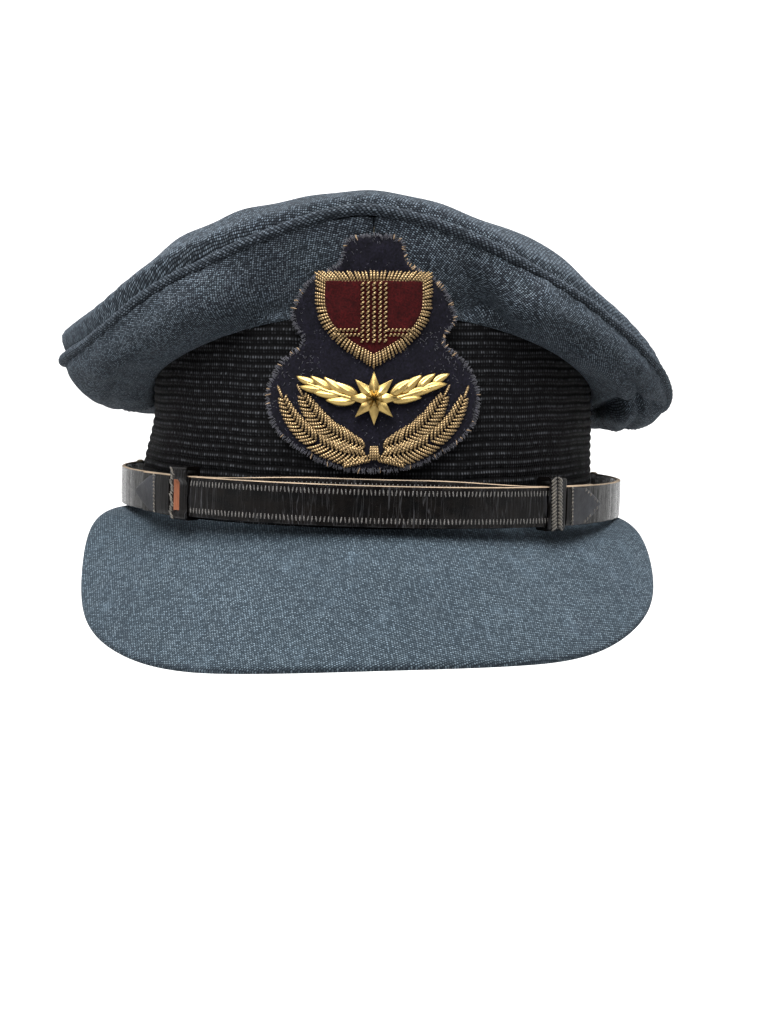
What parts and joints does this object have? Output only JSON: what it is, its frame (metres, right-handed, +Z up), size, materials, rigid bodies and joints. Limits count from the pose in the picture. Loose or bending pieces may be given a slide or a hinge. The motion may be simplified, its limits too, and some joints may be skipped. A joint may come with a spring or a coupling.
{
  "type": "peaked cap",
  "caption": "Soft-crowned peaked service cap with ribbed band, cloth-covered peak, adjustable chin strap with sliding keepers, side buttons and an embroidered badge.",
  "frame": {"origin": "centre of the head opening, level with the front of the band's lower edge", "axes": "+Z up, the front and the peak face -Y, +X is to the right of someone who faces the cap"},
  "size_m": [0.2346, 0.2643, 0.1555],
  "materials": {
    "cap_cloth": "blue-grey woollen twill",
    "canvas": "stiff cotton canvas",
    "spring_steel": "bare spring steel",
    "board": "pressed fibre board",
    "mohair": "black ribbed mohair braid",
    "tan_leather": "smooth tan leather",
    "lining_satin": "dark satin",
    "clear_film": "clear celluloid",
    "dark_leather": "smooth black leather",
    "navy_felt": "padded navy felt",
    "bullion": "aged gold bullion wire",
    "red_velvet": "crimson velvet",
    "gilt": "polished gilt",
    "patent_leather": "black patent leather with raw tan edges",
    "steel_wire": "bright wire",
    "brass": "plain brass"
  },
  "bodies": {
    "cap": {"crown_top": "cap_cloth", "quarter_front_left": "cap_cloth", "quarter_front_right": "cap_cloth", "quarter_rear_left": "cap_cloth", "quarter_rear_right": "cap_cloth", "crown_piping": "cap_cloth", "front_stay": "spring_steel", "front_canvas": "canvas", "band_stiffener": "board", "mohair_band": "mohair", "sweatband": "tan_leather", "sweatband_reed": "tan_leather", "lining_side": "lining_satin", "lining_top": "lining_satin", "sweat_shield": "clear_film", "peak_cover": "cap_cloth", "peak_core": "board", "peak_lining": "dark_leather", "badge_patch": "navy_felt", "badge_wreath_left": "bullion", "badge_wreath_right": "bullion", "badge_tie": "bullion", "badge_shield_velvet": "red_velvet", "badge_shield_border": "bullion", "badge_star": "gilt", "strap_outer": "patent_leather", "strap_inner": "patent_leather", "eyelet_left": "brass", "eyelet_right": "brass"},
    "keeper_left": {"keeper_left": "patent_leather", "keeper_tab_left": "patent_leather"},
    "keeper_right": {"keeper_right": "patent_leather", "keeper_tab_right": "patent_leather"},
    "button_left": {"button_left": "gilt", "button_shank_left": "gilt", "split_pin_left": "steel_wire"},
    "button_right": {"button_right": "gilt", "button_shank_right": "gilt", "split_pin_right": "steel_wire"}
  },
  "joints": [
    {"name": "keeper_left_slide", "type": "hinge", "parent": "cap", "child": "keeper_left", "pos_m": [0, -0.0172, 0.00551], "axis": [0.0293, -0.0241, 0.9993], "range_deg": [0, 26]},
    {"name": "keeper_right_slide", "type": "hinge", "parent": "cap", "child": "keeper_right", "pos_m": [0, -0.0172, 0.00551], "axis": [0.0293, -0.0241, 0.9993], "range_deg": [-26, 0]},
    {"name": "button_left_turn", "type": "hinge", "parent": "cap", "child": "button_left", "pos_m": [-0.08778, 0.00927, 0.01538], "axis": [-0.9811, 0.1908, 0.0334], "continuous": true},
    {"name": "button_right_turn", "type": "hinge", "parent": "cap", "child": "button_right", "pos_m": [0.08928, 0.0128, 0.01027], "axis": [0.9741, 0.2249, -0.0232], "continuous": true}
  ],
  "couplings": [
    {"joint": "keeper_right_slide", "follows": "keeper_left_slide", "ratio": -1}
  ]
}
